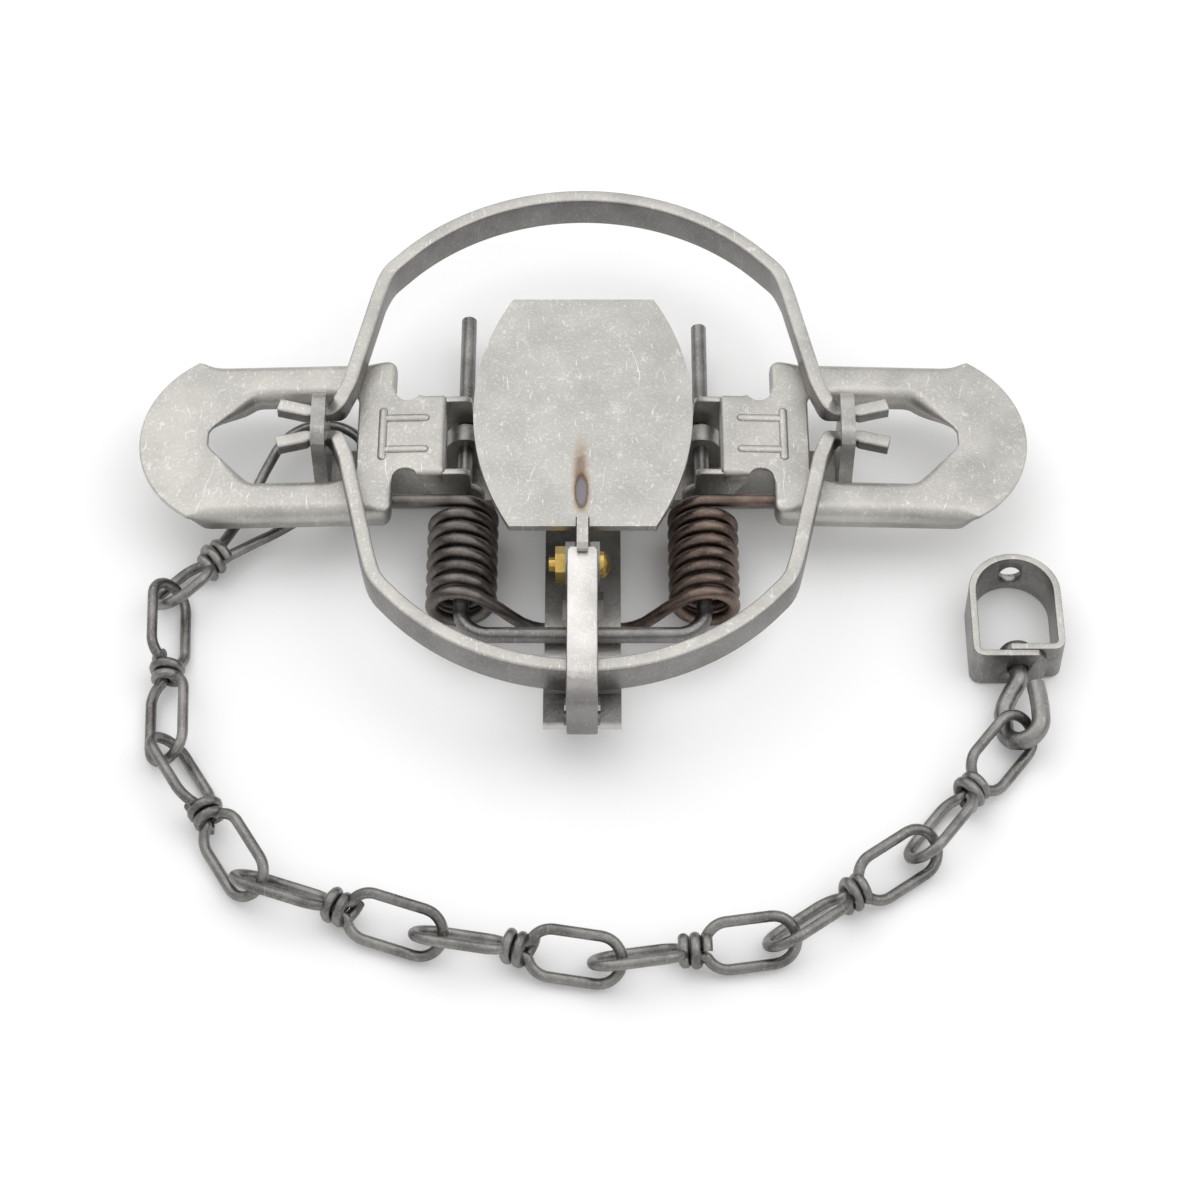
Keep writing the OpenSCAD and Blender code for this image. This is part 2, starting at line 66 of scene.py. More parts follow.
def remap(tree, value, start=0, end=1, low=0, high=1):
    span = tree.nodes.new("ShaderNodeMapRange")
    span.inputs["From Min"].default_value = start
    span.inputs["From Max"].default_value = end
    span.inputs["To Min"].default_value = low
    span.inputs["To Max"].default_value = high
    tree.links.new(value, span.inputs["Value"])
    return span.outputs["Result"]


def maths(tree, operation, *values):
    step = tree.nodes.new("ShaderNodeMath")
    step.operation = operation
    for value, socket in zip(values, step.inputs):
        if isinstance(value, (int, float)):
            socket.default_value = value
        else:
            tree.links.new(value, socket)
    return step.outputs["Value"]


def mix_colour(tree, share, first, second):
    mix = tree.nodes.new("ShaderNodeMix")
    mix.data_type = "RGBA"
    tree.links.new(share, mix.inputs["Factor"])
    for value, socket in ((first, mix.inputs["A"]), (second, mix.inputs["B"])):
        if isinstance(value, tuple):
            socket.default_value = (*value, 1)
        else:
            tree.links.new(value, socket)
    return mix.outputs["Result"]


def scratch_marks(tree, place, angle, across, along, size):
    turn = tree.nodes.new("ShaderNodeMapping")
    turn.inputs["Rotation"].default_value = (math.radians(34), math.radians(-18), math.radians(angle))
    turn.inputs["Scale"].default_value = (across, along, 1)
    cells = tree.nodes.new("ShaderNodeTexVoronoi")
    cells.voronoi_dimensions = "2D"
    cells.inputs["Scale"].default_value = 1
    link_nodes(tree, (place, turn.inputs["Vector"]), (turn.outputs["Vector"], cells.inputs["Vector"]))
    uneven = maths(tree, "DIVIDE", cells.outputs["Distance"], cells.outputs["Color"])
    return remap(tree, uneven, start=size * 1.6, end=size * 0.5)


# Each scratch pattern has its angle, how close the marks lie across and along, and their size
SCRATCHES = ((28, 420, 52, 0.05), (-52, 460, 70, 0.05), (70, 330, 20, 0.036), (-38, 320, 14, 0.03),
             (14, 210, 3, 0.02))


def bare_metal(name, tone, shade, bright, rough, marks, patch=70):
    finish = bpy.data.materials.new(name)
    finish.use_nodes = True
    tree = finish.node_tree
    shader = tree.nodes["Principled BSDF"]
    shader.inputs["Metallic"].default_value = 1
    place = tree.nodes.new("ShaderNodeTexCoord").outputs["Object"]

    # Cloudy tone with fine bright specks
    cloud = noise(tree, place, scale=patch, detail=5, rough=0.6).outputs["Fac"]
    speck = noise(tree, place, scale=1400, detail=3).outputs["Fac"]
    colour = mix_colour(tree, remap(tree, cloud, start=0.36, end=0.62), shade, tone)
    colour = mix_colour(tree, remap(tree, speck, start=0.54, end=0.85, high=0.45), colour, bright)

    # Rubbed patches and slightly bent scratches
    drift = noise(tree, place, scale=45).outputs["Color"]
    bent = tree.nodes.new("ShaderNodeVectorMath")
    bent.operation = "MULTIPLY_ADD"
    bent.inputs[1].default_value = (0.012, 0.012, 0.012)
    link_nodes(tree, (drift, bent.inputs[0]), (place, bent.inputs[2]))
    rub = noise(tree, place, scale=300, detail=5, rough=0.72).outputs["Fac"]
    wear = remap(tree, rub, start=0.59, end=0.72, high=0.75)
    for angle, across, along, size in SCRATCHES:
        scratch = scratch_marks(tree, bent.outputs["Vector"], angle, across, along, size)
        wear = maths(tree, "MAXIMUM", wear, scratch)
    colour = mix_colour(tree, maths(tree, "MULTIPLY", wear, marks), colour, bright)

    # Uneven gloss and a fine grain
    gloss = remap(tree, cloud, low=rough - 0.08, high=rough + 0.1)
    relief = tree.nodes.new("ShaderNodeBump")
    relief.inputs["Strength"].default_value = 0.25
    relief.inputs["Distance"].default_value = 0.0003
    link_nodes(tree, (speck, relief.inputs["Height"]), (relief.outputs["Normal"], shader.inputs["Normal"]),
               (colour, shader.inputs["Base Color"]), (gloss, shader.inputs["Roughness"]))
    return finish


def soften_edges(name, finish, width, steps=3, merge_flats=True):
    piece = nodes[name]
    piece.data.materials.clear()
    piece.data.materials.append(finish)
    if merge_flats:
        flat = piece.modifiers.new("merge_flats", "DECIMATE")
        flat.decimate_type = "DISSOLVE"
        flat.angle_limit = math.radians(0.2)
    edge = piece.modifiers.new("worn_edges", "BEVEL")
    edge.width = width * MM
    edge.segments = steps
    edge.limit_method = "ANGLE"
    edge.angle_limit = math.radians(32)


strap_steel = bare_metal("strap_steel", tone=(0.44, 0.43, 0.41), shade=(0.27, 0.262, 0.25),
                         bright=(0.8, 0.79, 0.77), rough=0.42, marks=0.4)
soften_edges("base_strap", strap_steel, width=0.5)


# Cross strap and rivets
# A second strap lies across the base, carries the pan's post and rises to the ledge with the latch's bar.
# It is darker strap with mill scale, fixed to the base with two flat-headed rivets. Its lighter patch near
# the rod is partly wear and partly painted light, and the ledge's lighter front face is painted light.
def tint_spot(finish, centre, half, stops, waver):
    tree = finish.node_tree
    base_colour = tree.nodes["Principled BSDF"].inputs["Base Color"]
    plain = base_colour.links[0].from_socket
    place = tree.nodes.new("ShaderNodeTexCoord").outputs["Object"]
    spot = tree.nodes.new("ShaderNodeMapping")
    spot.vector_type = "TEXTURE"
    spot.inputs["Location"].default_value = [c * MM for c in centre]
    spot.inputs["Scale"].default_value = [h * MM for h in half]
    far = tree.nodes.new("ShaderNodeVectorMath")
    far.operation = "LENGTH"
    link_nodes(tree, (place, spot.inputs["Vector"]), (spot.outputs["Vector"], far.inputs[0]))
    blur = noise(tree, place, scale=420).outputs["Fac"]
    edge = maths(tree, "MULTIPLY_ADD", blur, waver, far.outputs["Value"])
    reach = stops[-1][0] + waver / 2
    ramp = tree.nodes.new("ShaderNodeValToRGB")
    while len(ramp.color_ramp.elements) < len(stops):
        ramp.color_ramp.elements.new(0.5)
    for stop, (at, colour, strength) in zip(ramp.color_ramp.elements, stops):
        stop.position = (at + waver / 2 * (at > 0)) / reach
        stop.color = (*colour, strength)
    tree.links.new(maths(tree, "DIVIDE", edge, reach), ramp.inputs["Fac"])
    tree.links.new(mix_colour(tree, ramp.outputs["Alpha"], plain, ramp.outputs["Color"]), base_colour)


scaled_steel = bare_metal("scaled_steel", tone=(0.31, 0.301, 0.29), shade=(0.16, 0.154, 0.147),
                          bright=(0.52, 0.51, 0.495), rough=0.42, marks=0.25)
WEAR_AND_PAINTED_LIGHT = (0.62, 0.608, 0.585)
# Partly wear and partly painted light: a lighter patch on the strap near the rod
tint_spot(scaled_steel, centre=(0, -59, 8), half=(40, 13, 40),
          stops=((0, WEAR_AND_PAINTED_LIGHT, 0.9), (0.5, WEAR_AND_PAINTED_LIGHT, 0.8), (1.1, WEAR_AND_PAINTED_LIGHT, 0)), waver=0.4)
# Painted light: a thin band that makes the ledge's front face lighter
tint_spot(scaled_steel, centre=(0, -85.2, 14), half=(60, 0.8, 3.4),
          stops=((0, WEAR_AND_PAINTED_LIGHT, 0.9), (0.8, WEAR_AND_PAINTED_LIGHT, 0.8), (1.1, WEAR_AND_PAINTED_LIGHT, 0)), waver=0.3)
soften_edges("cross_strap", scaled_steel, width=0.35, merge_flats=False)
soften_edges("frame_rivets", scaled_steel, width=0.4)

# Spring rod
# A round rod bent to a U that carries both coils and both levers.
# It is drawn steel, mid grey, rubbed along its length.
drawn_steel = bare_metal("drawn_steel", tone=(0.27, 0.265, 0.255), shade=(0.15, 0.147, 0.142),
                         bright=(0.6, 0.59, 0.57), rough=0.36, marks=0.3)
soften_edges("spring_rod", drawn_steel, width=0.3)


# Coil springs
# Two torsion springs on the rod, each one wire of seven turns. One arm presses up under the lever's
# shoulder, and the other is tucked under the cross strap. The wire is oil-tempered, brown-black.
def smooth_route(points, steps):
    ends = [points[0] * 2 - points[1]] + points + [points[-1] * 2 - points[-2]]
    route = []
    for a, b, c, d in zip(ends, ends[1:], ends[2:], ends[3:]):
        for k in range(steps):
            t = k / steps
            route.append(0.5 * (2 * b + (c - a) * t + (2 * a - 5 * b + 4 * c - d) * t * t
                                + (3 * b - a - 3 * c + d) * t ** 3))
    return route + [points[-1]]


def direction(route, i):
    return (route[min(i + 1, len(route) - 1)] - route[max(i - 1, 0)]).normalized()


def skin_rings(faces, start, rings, sides):
    for i in range(rings - 1):
        for k in range(sides):
            a = start + i * sides + k
            b = start + i * sides + (k + 1) % sides
            faces.append((a, b, b + sides, a + sides))
    last = start + (rings - 1) * sides
    faces.append(tuple(range(start + sides - 1, start - 1, -1)))
    faces.append(tuple(range(last, last + sides)))


def add_wire(corners, faces, route, d, sides):
    start = len(corners)
    side = (route[1] - route[0]).orthogonal().normalized()
    for i, p in enumerate(route):
        way = direction(route, i)
        side = (side - way * side.dot(way)).normalized()
        up = way.cross(side)
        for k in range(sides):
            a = 2 * math.pi * k / sides
            corners.append(p + d / 2 * (math.cos(a) * side + math.sin(a) * up))
    skin_rings(faces, start, len(route), sides)


def make_piece(name, corners, faces, finish, sharp=40):
    mesh = bpy.data.meshes.new(name)
    mesh.from_pydata([p * MM for p in corners], [], faces)
    mesh.polygons.foreach_set("use_smooth", [True] * len(mesh.polygons))
    mesh.set_sharp_from_angle(angle=math.radians(sharp))
    mesh.materials.append(finish)
    piece = bpy.data.objects.new(name, mesh)
    bpy.context.scene.collection.objects.link(piece)
    return piece


ROD_X, ROD_Z = 30.4, 9.8
WIRE_D, COIL_R, COIL_BACK, COIL_PITCH, COIL_TURNS = 3.2, 7.4, 18.4, 4.05, 7
ARM_OUT, LEAVE_ANGLE, CROSS_W, BASE_T, TUCK_GAP = 21, 40, 19, 3.5, 0.15


def coil_point(angle):
    a = math.radians(angle)
    return Vector((COIL_R * math.sin(a), -COIL_BACK - COIL_PITCH * angle / 360, COIL_R * math.cos(a)))


def spring_route():
    last = 360 * COIL_TURNS + LEAVE_ANGLE
    arm_y = -COIL_BACK - COIL_PITCH * last / 360 - 0.3
    tuck_z = BASE_T - WIRE_D / 2 - TUCK_GAP - ROD_Z
    tuck_x = ROD_X - CROSS_W / 2
    points = [Vector((x, -COIL_BACK, COIL_R)) for x in (-ARM_OUT, -16, -11, -6, -3)]
    points += [coil_point(a) for a in range(0, 360 * COIL_TURNS + 1, 15)]
    points += [coil_point(last - 20), coil_point(last)]
    points += [Vector((tuck_x * 0.45, arm_y, 1.6)), Vector((tuck_x * 0.72, arm_y, tuck_z * 0.62)),
               Vector((tuck_x - 1.2, arm_y + 0.4, tuck_z)), Vector((tuck_x + 2.6, arm_y + 0.5, tuck_z))]
    return smooth_route(points, steps=2)


tempered_wire = bare_metal("tempered_wire", tone=(0.19, 0.172, 0.159), shade=(0.086, 0.076, 0.069),
                           bright=(0.36, 0.34, 0.32), rough=0.38, marks=0.15, patch=110)
browned_wire = bare_metal("browned_wire", tone=(0.225, 0.166, 0.138), shade=(0.096, 0.074, 0.064),
                          bright=(0.4, 0.33, 0.29), rough=0.38, marks=0.15, patch=90)
for side, hand, wire in ((-1, "left", tempered_wire), (1, "right", browned_wire)):
    corners, faces = [], []
    route = [Vector((-side * p.x + side * ROD_X, p.y, p.z + ROD_Z)) for p in spring_route()]
    add_wire(corners, faces, route, WIRE_D, sides=16)
    coil = make_piece(hand + "_coil", corners, faces, wire)
    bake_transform(coil)
    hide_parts(hand + "_spring")

# Levers
# Each lever is one pressing of bright sheet: a rounded frame round the post, a neck with stiffening ribs,
# and two ears that turn on the rod. It is tumbled bare steel with fine white scratches.
tumbled_steel = bare_metal("tumbled_steel", tone=(0.53, 0.516, 0.484), shade=(0.42, 0.408, 0.382),
                           bright=(0.92, 0.91, 0.89), rough=0.44, marks=0.6)

# In a lever's own frame u runs outwards from the rod, v runs across, and heights are above the rod
LEVER_SLOPE = math.radians(2)
TIP_U, IN_U, NECK_U = 113 - ROD_X, 47.8 - ROD_X, 34.5 - ROD_X
LEVER_W, NECK_W, SHEET_T, WEB_RISE, FLANGE_H = 48.6, 25.6, 1.7, 11.9, 6.4
TIP_R, TIP_HALF, FLARE_RUN, NOTCH_R, NOTCH_OUT = 29.2, 24.8, 4, 3.1, 1.2
CORNER_U = TIP_U - TIP_R + math.sqrt(TIP_R ** 2 - TIP_HALF ** 2)
NOTCH_U = IN_U - 2 * NOTCH_R
HOLE_IN, HOLE_OUT, HOLE_HALF = 57.2 - ROD_X, 95.3 - ROD_X, 13.5
WEB_CORNER, HOLE_CORNER, EDGE_STEP = 2.5, 3, 1.6
EDGE_ROLL, RAIL_ROLL, EDGE_DEPTH, NECK_DEPTH, SHOULDER_R = 1.5, 1.8, 3, 4.4, 2.6
NOTCH_ROLL_CUT, NOTCH_DEPTH_CUT, NOTCH_EASE = 1.1, 3.9, 1.2
HOLE_ROLL, HOLE_RAIL_ROLL, HOLE_DEPTH, HOLE_RAIL_DEPTH = 0.6, 2.4, 1, 5
RAIL_START, RAIL_FULL, RAIL_FADE, FLANGE_FADE = IN_U + 2.4, IN_U + 9, CORNER_U - 7, CORNER_U - 5
EAR_R, ROD_HOLE_R, EAR_INSET, EAR_ROUND = 5.2, 2.1, 1.15, 0.25
RIB_HALF, RIB_RISE, RIB_SUNK, RIB_BASE = 1.15, 0.75, 0.5, WEB_RISE - 0.1
RIB_IN, RIB_OUT, RIB_SPAN, RIB_APART = NECK_U + 4.3, IN_U + 2.9, 8.4, 5
RIBS = (((RIB_OUT, -RIB_SPAN), (RIB_OUT, RIB_SPAN)), ((RIB_IN, -RIB_APART), (RIB_OUT, -RIB_APART)),
        ((RIB_IN, RIB_APART), (RIB_OUT, RIB_APART)))


def arc(x, y, r, first, last, steps):
    turns = [math.radians(first + (last - first) * k / steps) for k in range(steps + 1)]
    return [(x + r * math.cos(a), y + r * math.sin(a)) for a in turns]


def mirrored(points):
    return [(x, -y) for x, y in reversed(points)]


def spaced(points, step):
    full = []
    for (xa, ya), (xb, yb) in zip(points, points[1:]):
        count = max(1, round(math.hypot(xb - xa, yb - ya) / step))
        full += [(xa + (xb - xa) * k / count, ya + (yb - ya) * k / count) for k in range(count)]
    return full + [points[-1]]


def ease(value, first, last):
    t = min(max((value - first) / (last - first), 0), 1)
    return t * t * (3 - 2 * t)


def web_outline():
    w, n, c = LEVER_W / 2, NECK_W / 2, WEB_CORNER
    meet = 180 - math.degrees(math.asin(NOTCH_OUT / NOTCH_R))
    sweep = math.degrees(math.asin(TIP_HALF / TIP_R))
    front = [(NECK_U, -n + 1), (NECK_U + 1, -n)]
    front += arc(IN_U - NOTCH_R, -n - NOTCH_OUT, NOTCH_R, meet, 0, 10)
    front += arc(IN_U + c, -w + c, c, 180, 270, 5)
    for k in range(FLARE_RUN):
        front.append((CORNER_U - FLARE_RUN + k, -w - (TIP_HALF - w) * ease(k, 0, FLARE_RUN)))
    outer = front + arc(TIP_U - TIP_R, 0, TIP_R, -sweep, sweep, 40) + mirrored(front)
    return spaced(outer + outer[:1], EDGE_STEP)[:-1]


def opening_outline():
    half, c = HOLE_HALF, HOLE_CORNER
    front = arc(HOLE_IN + c, -half + c, c, 180, 270, 5)
    front += [(HOLE_OUT - 12.5, -half), (HOLE_OUT - 11, -half + 0.4), (HOLE_OUT - 9.8, -half + 1.4)]
    front += [(HOLE_OUT - 0.9, -3.6), (HOLE_OUT, -2)]
    opening = front + mirrored(front)
    return spaced(opening + opening[:1], EDGE_STEP)[:-1]


# Both rolls give the radius of the rolled edge and the depth of the turned-down side at one spot
def outer_roll(u, v):
    if abs(v) < NECK_W / 2 + NOTCH_OUT + 0.1 and u < IN_U + 1:
        cut = ease(u, NOTCH_U - NOTCH_EASE, NOTCH_U + NOTCH_EASE)
        return EDGE_ROLL - NOTCH_ROLL_CUT * cut, NECK_DEPTH - NOTCH_DEPTH_CUT * cut
    rail = ease(u, RAIL_START, RAIL_FULL) * (1 - ease(u, RAIL_FADE, CORNER_U))
    near = 1 - min(max((u - IN_U) / SHOULDER_R, 0), 1)
    flange = math.sqrt(1 - near ** 2) * (1 - ease(u, FLANGE_FADE, CORNER_U))
    flat = ease(u, CORNER_U - FLARE_RUN, CORNER_U)
    return EDGE_ROLL + RAIL_ROLL * rail - flat, EDGE_DEPTH - 2 * flat + (FLANGE_H - EDGE_DEPTH) * flange


def opening_roll(u, v):
    rail = ease(abs(v), 3, 13) * ease(u, HOLE_IN + 1, HOLE_IN + 8)
    return HOLE_ROLL + HOLE_RAIL_ROLL * rail, HOLE_DEPTH + HOLE_RAIL_DEPTH * rail


def lever_shell():
    corners, faces, tops = [], [], []
    steps = 6
    rows = steps + 2
    for outline, inward, roll in ((web_outline(), 1, outer_roll), (opening_outline(), -1, opening_roll)):
        start = len(corners)
        count = len(outline)
        for i, (u, v) in enumerate(outline):
            ahead, behind = outline[(i + 1) % count], outline[i - 1]
            way = Vector((ahead[0] - behind[0], ahead[1] - behind[1], 0)).normalized()
            inside = Vector((-way.y, way.x, 0)) * inward
            r, depth = roll(u, v)
            corners.append(Vector((u, v, WEB_RISE - depth)))
            for k in range(steps + 1):
                a = math.pi / 2 * k / steps
                edge = Vector((u, v, WEB_RISE - r + r * math.sin(a)))
                corners.append(edge + inside * r * (1 - math.cos(a)))
        for i in range(count):
            for k in range(rows - 1):
                a = start + i * rows + k
                b = start + (i + 1) % count * rows + k
                faces.append((a, b, b + 1, a + 1) if inward > 0 else (b, a, a + 1, b + 1))
        tops.append([start + i * rows + rows - 1 for i in range(count)])
    flat = tops[0] + tops[1]
    outer_count, count = len(tops[0]), len(flat)
    borders = [(i, (i + 1) % outer_count) for i in range(outer_count)]
    borders += [(i, i + 1 if i + 1 < count else outer_count) for i in range(outer_count, count)]
    filled = delaunay_2d_cdt([corners[i].xy for i in flat], borders, [], 1, 0.0001)
    for face in filled[2]:
        spots = [filled[3][i][0] for i in face]
        if min(spots) < outer_count:
            faces.append(tuple(flat[i] for i in spots))
    return corners, faces


def plate_from_outline(outlines, half_t, roll, segments):
    drawing = bpy.data.curves.new("outline", "CURVE")
    drawing.dimensions = "2D"
    drawing.fill_mode = "BOTH"
    drawing.extrude = half_t
    drawing.bevel_depth = roll
    drawing.bevel_resolution = segments
    drawing.offset = -roll
    for points in outlines:
        spline = drawing.splines.new("POLY")
        spline.points.add(len(points) - 1)
        spline.use_cyclic_u = True
        for knot, (x, y) in zip(spline.points, points):
            knot.co = (x, y, 0, 1)
    holder = bpy.data.objects.new("outline", drawing)
    mesh = bpy.data.meshes.new_from_object(holder)
    corners = [v.co.copy() for v in mesh.vertices]
    faces = [tuple(f.vertices) for f in mesh.polygons]
    bpy.data.objects.remove(holder)
    bpy.data.curves.remove(drawing)
    bpy.data.meshes.remove(mesh)
    return corners, faces


def lever_ear(v):
    outline = [(NOTCH_U + 0.2, WEB_RISE - 1), (NOTCH_U, WEB_RISE - 3.4), (NOTCH_U - 2.2, WEB_RISE - 7.4)]
    outline += arc(0, 0, EAR_R, -38, -245, 24)
    outline += [(-2.2, WEB_RISE - 2), (-1, WEB_RISE - 0.9), (NECK_U, WEB_RISE - 0.9),
                (NECK_U + 3, WEB_RISE - 0.6)]
    hole = arc(0, 0, ROD_HOLE_R, 0, 345, 23)
    corners, faces = plate_from_outline([outline, hole], SHEET_T / 2 - EAR_ROUND, EAR_ROUND, segments=1)
    return [Vector((p.x, v - p.z, p.y)) for p in corners], faces


def pressed_rib(ends):
    (ua, va), (ub, vb) = ends
    start, way = Vector((ua, va, RIB_BASE)), Vector((ub - ua, vb - va, 0))
    length = way.length
    way = way.normalized()
    cross = Vector((-way.y, way.x, 0))
    near = [RIB_HALF * s for s in (0.02, 0.1, 0.25, 0.45, 0.7, 1)]
    stations = near + [length * k / 6 for k in range(1, 6)] + [length - d for d in reversed(near)]
    corners, faces = [], []
    sides = 14
    for d in stations:
        share = math.sqrt(1 - (1 - min(d, length - d, RIB_HALF) / RIB_HALF) ** 2)
        for k in range(sides):
            a = 2 * math.pi * k / sides
            height = RIB_RISE if math.sin(a) > 0 else RIB_SUNK
            corners.append(start + way * d + cross * RIB_HALF * share * math.cos(a)
                           + Vector((0, 0, height * share * math.sin(a))))
    skin_rings(faces, 0, len(stations), sides)
    return corners, faces


def place_lever(p, side):
    x = p.x * math.cos(LEVER_SLOPE) + p.z * math.sin(LEVER_SLOPE)
    z = p.z * math.cos(LEVER_SLOPE) - p.x * math.sin(LEVER_SLOPE)
    return Vector((side * (ROD_X + x), p.y, ROD_Z + z))


for side, hand in ((-1, "left"), (1, "right")):
    details = [lever_ear(-NECK_W / 2 + EAR_INSET), lever_ear(NECK_W / 2 - EAR_INSET)]
    details += [pressed_rib(ends) for ends in RIBS]
    for label, parts in (("web", [lever_shell()]), ("ears", details)):
        corners, faces = [], []
        for some_corners, some_faces in parts:
            start = len(corners)
            corners += [place_lever(p, side) for p in some_corners]
            faces += [tuple(start + i for i in (f if side > 0 else reversed(f))) for f in some_faces]
        piece = make_piece(hand + "_lever_" + label, corners, faces, tumbled_steel, sharp=50)
        if label == "web":
            sheet = piece.modifiers.new("sheet_thickness", "SOLIDIFY")
            sheet.thickness = SHEET_T * MM
            sheet.offset = -1
        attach(piece, hand + "_lever")
        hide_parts(hand + "_lever")

# Jaws
# Two straps bent to bows, each with round necks that turn in the posts and flared tips outside them.
# They are tumbled strap: the edges are rubbed bright, and the flat sides get a darker grey, which is
# painted shade.
# Painted shade: a darker copy of the bright steel for faces that stand on edge
painted_shade_side = bare_metal("painted_shade_side", tone=(0.27, 0.262, 0.252), shade=(0.19, 0.184, 0.177),
                       bright=(0.55, 0.54, 0.52), rough=0.4, marks=0.25)
JAW_AXIS_Y, JAW_AXIS_Z, JAW_T = 4, 24.2, 3.7
BOW_R, BOW_Y, ARM_FOOT, ARM_SLOPE, BOW_JOIN = 62.4, 8.8, 61.4, 0.218, 43.7
POST_X, NECK_T, NECK_HALF, NECK_START, NECK_FULL = 67, 3.1, 1.6, 61.4, 65.1
ARM_LOW, ARM_HIGH, BOW_DEEPER, BOW_START, BOW_FULL = -3.1, 3.6, 2.8, 34, 48
JAW_TIP_X, JAW_TIP_L, JAW_TIP_TURN = 69.25, 8.4, math.radians(14)
JAW_TIP_LOW, JAW_TIP_HIGH, JAW_TIP_START, JAW_TIP_FULL = -2.1, 1.6, 68.9, 70.3


def add_strap(corners, faces, route, across, thick, lows, highs, corner_r=0.7):
    start = len(corners)
    for i, p in enumerate(route):
        normal = across.cross(direction(route, i)).normalized()
        t, lo, hi = thick[i] / 2, lows[i], highs[i]
        r = min(corner_r, t * 0.9, (hi - lo) * 0.45)
        outline = arc(t - r, hi - r, r, 0, 90, 4) + arc(r - t, hi - r, r, 90, 180, 4)
        outline += arc(r - t, lo + r, r, 180, 270, 4) + arc(t - r, lo + r, r, 270, 360, 4)
        corners += [p + normal * a + across * b for a, b in outline]
    skin_rings(faces, start, len(route), len(outline))


def jaw_half():
    points = [(JAW_TIP_X + JAW_TIP_L * math.cos(JAW_TIP_TURN), JAW_TIP_L * math.sin(JAW_TIP_TURN))]
    points += [(73, 0.9), (70.6, 0.25), (69.3, 0.03), (POST_X, 0)]
    points += [(65, 0), (63.9, 0.25), (62.4, 1.2), (61.5, 2.9), (60.9, 4.6)]
    points += [(ARM_FOOT - ARM_SLOPE * y, y) for y in (8, 14, 20, 26, 32, 38)]
    first = math.degrees(math.asin((BOW_JOIN + 1 - BOW_Y) / BOW_R))
    return points + arc(0, BOW_Y, BOW_R, first, 90, 10)


for name, way in (("back_jaw", 1), ("front_jaw", -1)):
    half = jaw_half()
    whole = half + [(-x, y) for x, y in reversed(half[:-1])]
    route = smooth_route([Vector((x, y, 0)) for x, y in whole], steps=4)
    thick, lows, highs = [], [], []
    for p in route:
        out = abs(p.x)
        tip = out > POST_X
        neck = 1 - ease(out, JAW_TIP_START, JAW_TIP_FULL) if tip else ease(out, NECK_START, NECK_FULL)
        low = JAW_TIP_LOW if tip else ARM_LOW - BOW_DEEPER * ease(p.y, BOW_START, BOW_FULL)
        high = JAW_TIP_HIGH if tip else ARM_HIGH
        thick.append(JAW_T + (NECK_T - JAW_T) * neck)
        lows.append(low + (-NECK_HALF - low) * neck)
        highs.append(high + (NECK_HALF - high) * neck)
    corners, faces = [], []
    route = [Vector((p.x, way * (p.y + JAW_AXIS_Y), JAW_AXIS_Z)) for p in route]
    add_strap(corners, faces, route, Vector((0, 0, 1)), thick, lows, highs)
    strap = make_piece(name + "_strap", corners, faces, tumbled_steel, sharp=50)
    strap.data.materials.append(painted_shade_side)
    # Steep faces take the darker copy, which is painted shade
    for face in strap.data.polygons:
        face.material_index = int(abs(face.normal.z) < 0.5)
    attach(strap, name)
    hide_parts(name)

# Dog
# The latch: a narrow strip that lies over the front jaw, its outer end bent down and curled round a bar.
# It is the same bright strip, rubbed almost white on top and darker at the bend; its sides and bent-down
# end take the darker grey that is painted shade.
rubbed_steel = bare_metal("rubbed_steel", tone=(0.68, 0.655, 0.632), shade=(0.5, 0.482, 0.466),
                          bright=(0.94, 0.93, 0.91), rough=0.36, marks=0.5)
# The strip is painted darker round its bend
BEND_DARK_TONE = (0.17, 0.162, 0.158)
tint_spot(rubbed_steel, centre=(0, -83.4, 29), half=(30, 5.2, 8),
          stops=((0, BEND_DARK_TONE, 0.9), (0.5, BEND_DARK_TONE, 0.75), (1, BEND_DARK_TONE, 0)), waver=0.8)
DOG_Y, DOG_Z, DOG_W, DOG_T, DOG_MID, DOG_TIP, TIP_SHARE = -82.5, 15.2, 7.6, 2, 29.2, -42.2, 0.85
CURL_R, BEND_R = 2.95, 3
upright = DOG_Y - CURL_R
dog_line = arc(DOG_Y, DOG_Z, CURL_R, 75, -180, 17)
dog_line += [(upright, z) for z in (17, 19, 21, 23, 25)]
dog_line += arc(upright + BEND_R, DOG_MID - BEND_R, BEND_R, 180, 90, 6)
dog_line += [(y, DOG_MID) for y in (-78, -70, -60, -50, -46, -44, -43, DOG_TIP)]
route = [Vector((0, y, z)) for y, z in dog_line]
highs = [DOG_W / 2] * (len(route) - 1) + [DOG_W / 2 * TIP_SHARE]
lows = [-h for h in highs]
corners, faces = [], []
add_strap(corners, faces, route, Vector((1, 0, 0)), [DOG_T] * len(route), lows, highs, corner_r=0.45)
latch = make_piece("dog_strip", corners, faces, rubbed_steel, sharp=50)
latch.data.materials.append(painted_shade_side)
# The dog's sides and bent-down end take the darker copy, which is painted shade
for face in latch.data.polygons:
    face.material_index = int(face.normal.z < 0.6)
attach(latch, "dog")
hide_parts("dog")

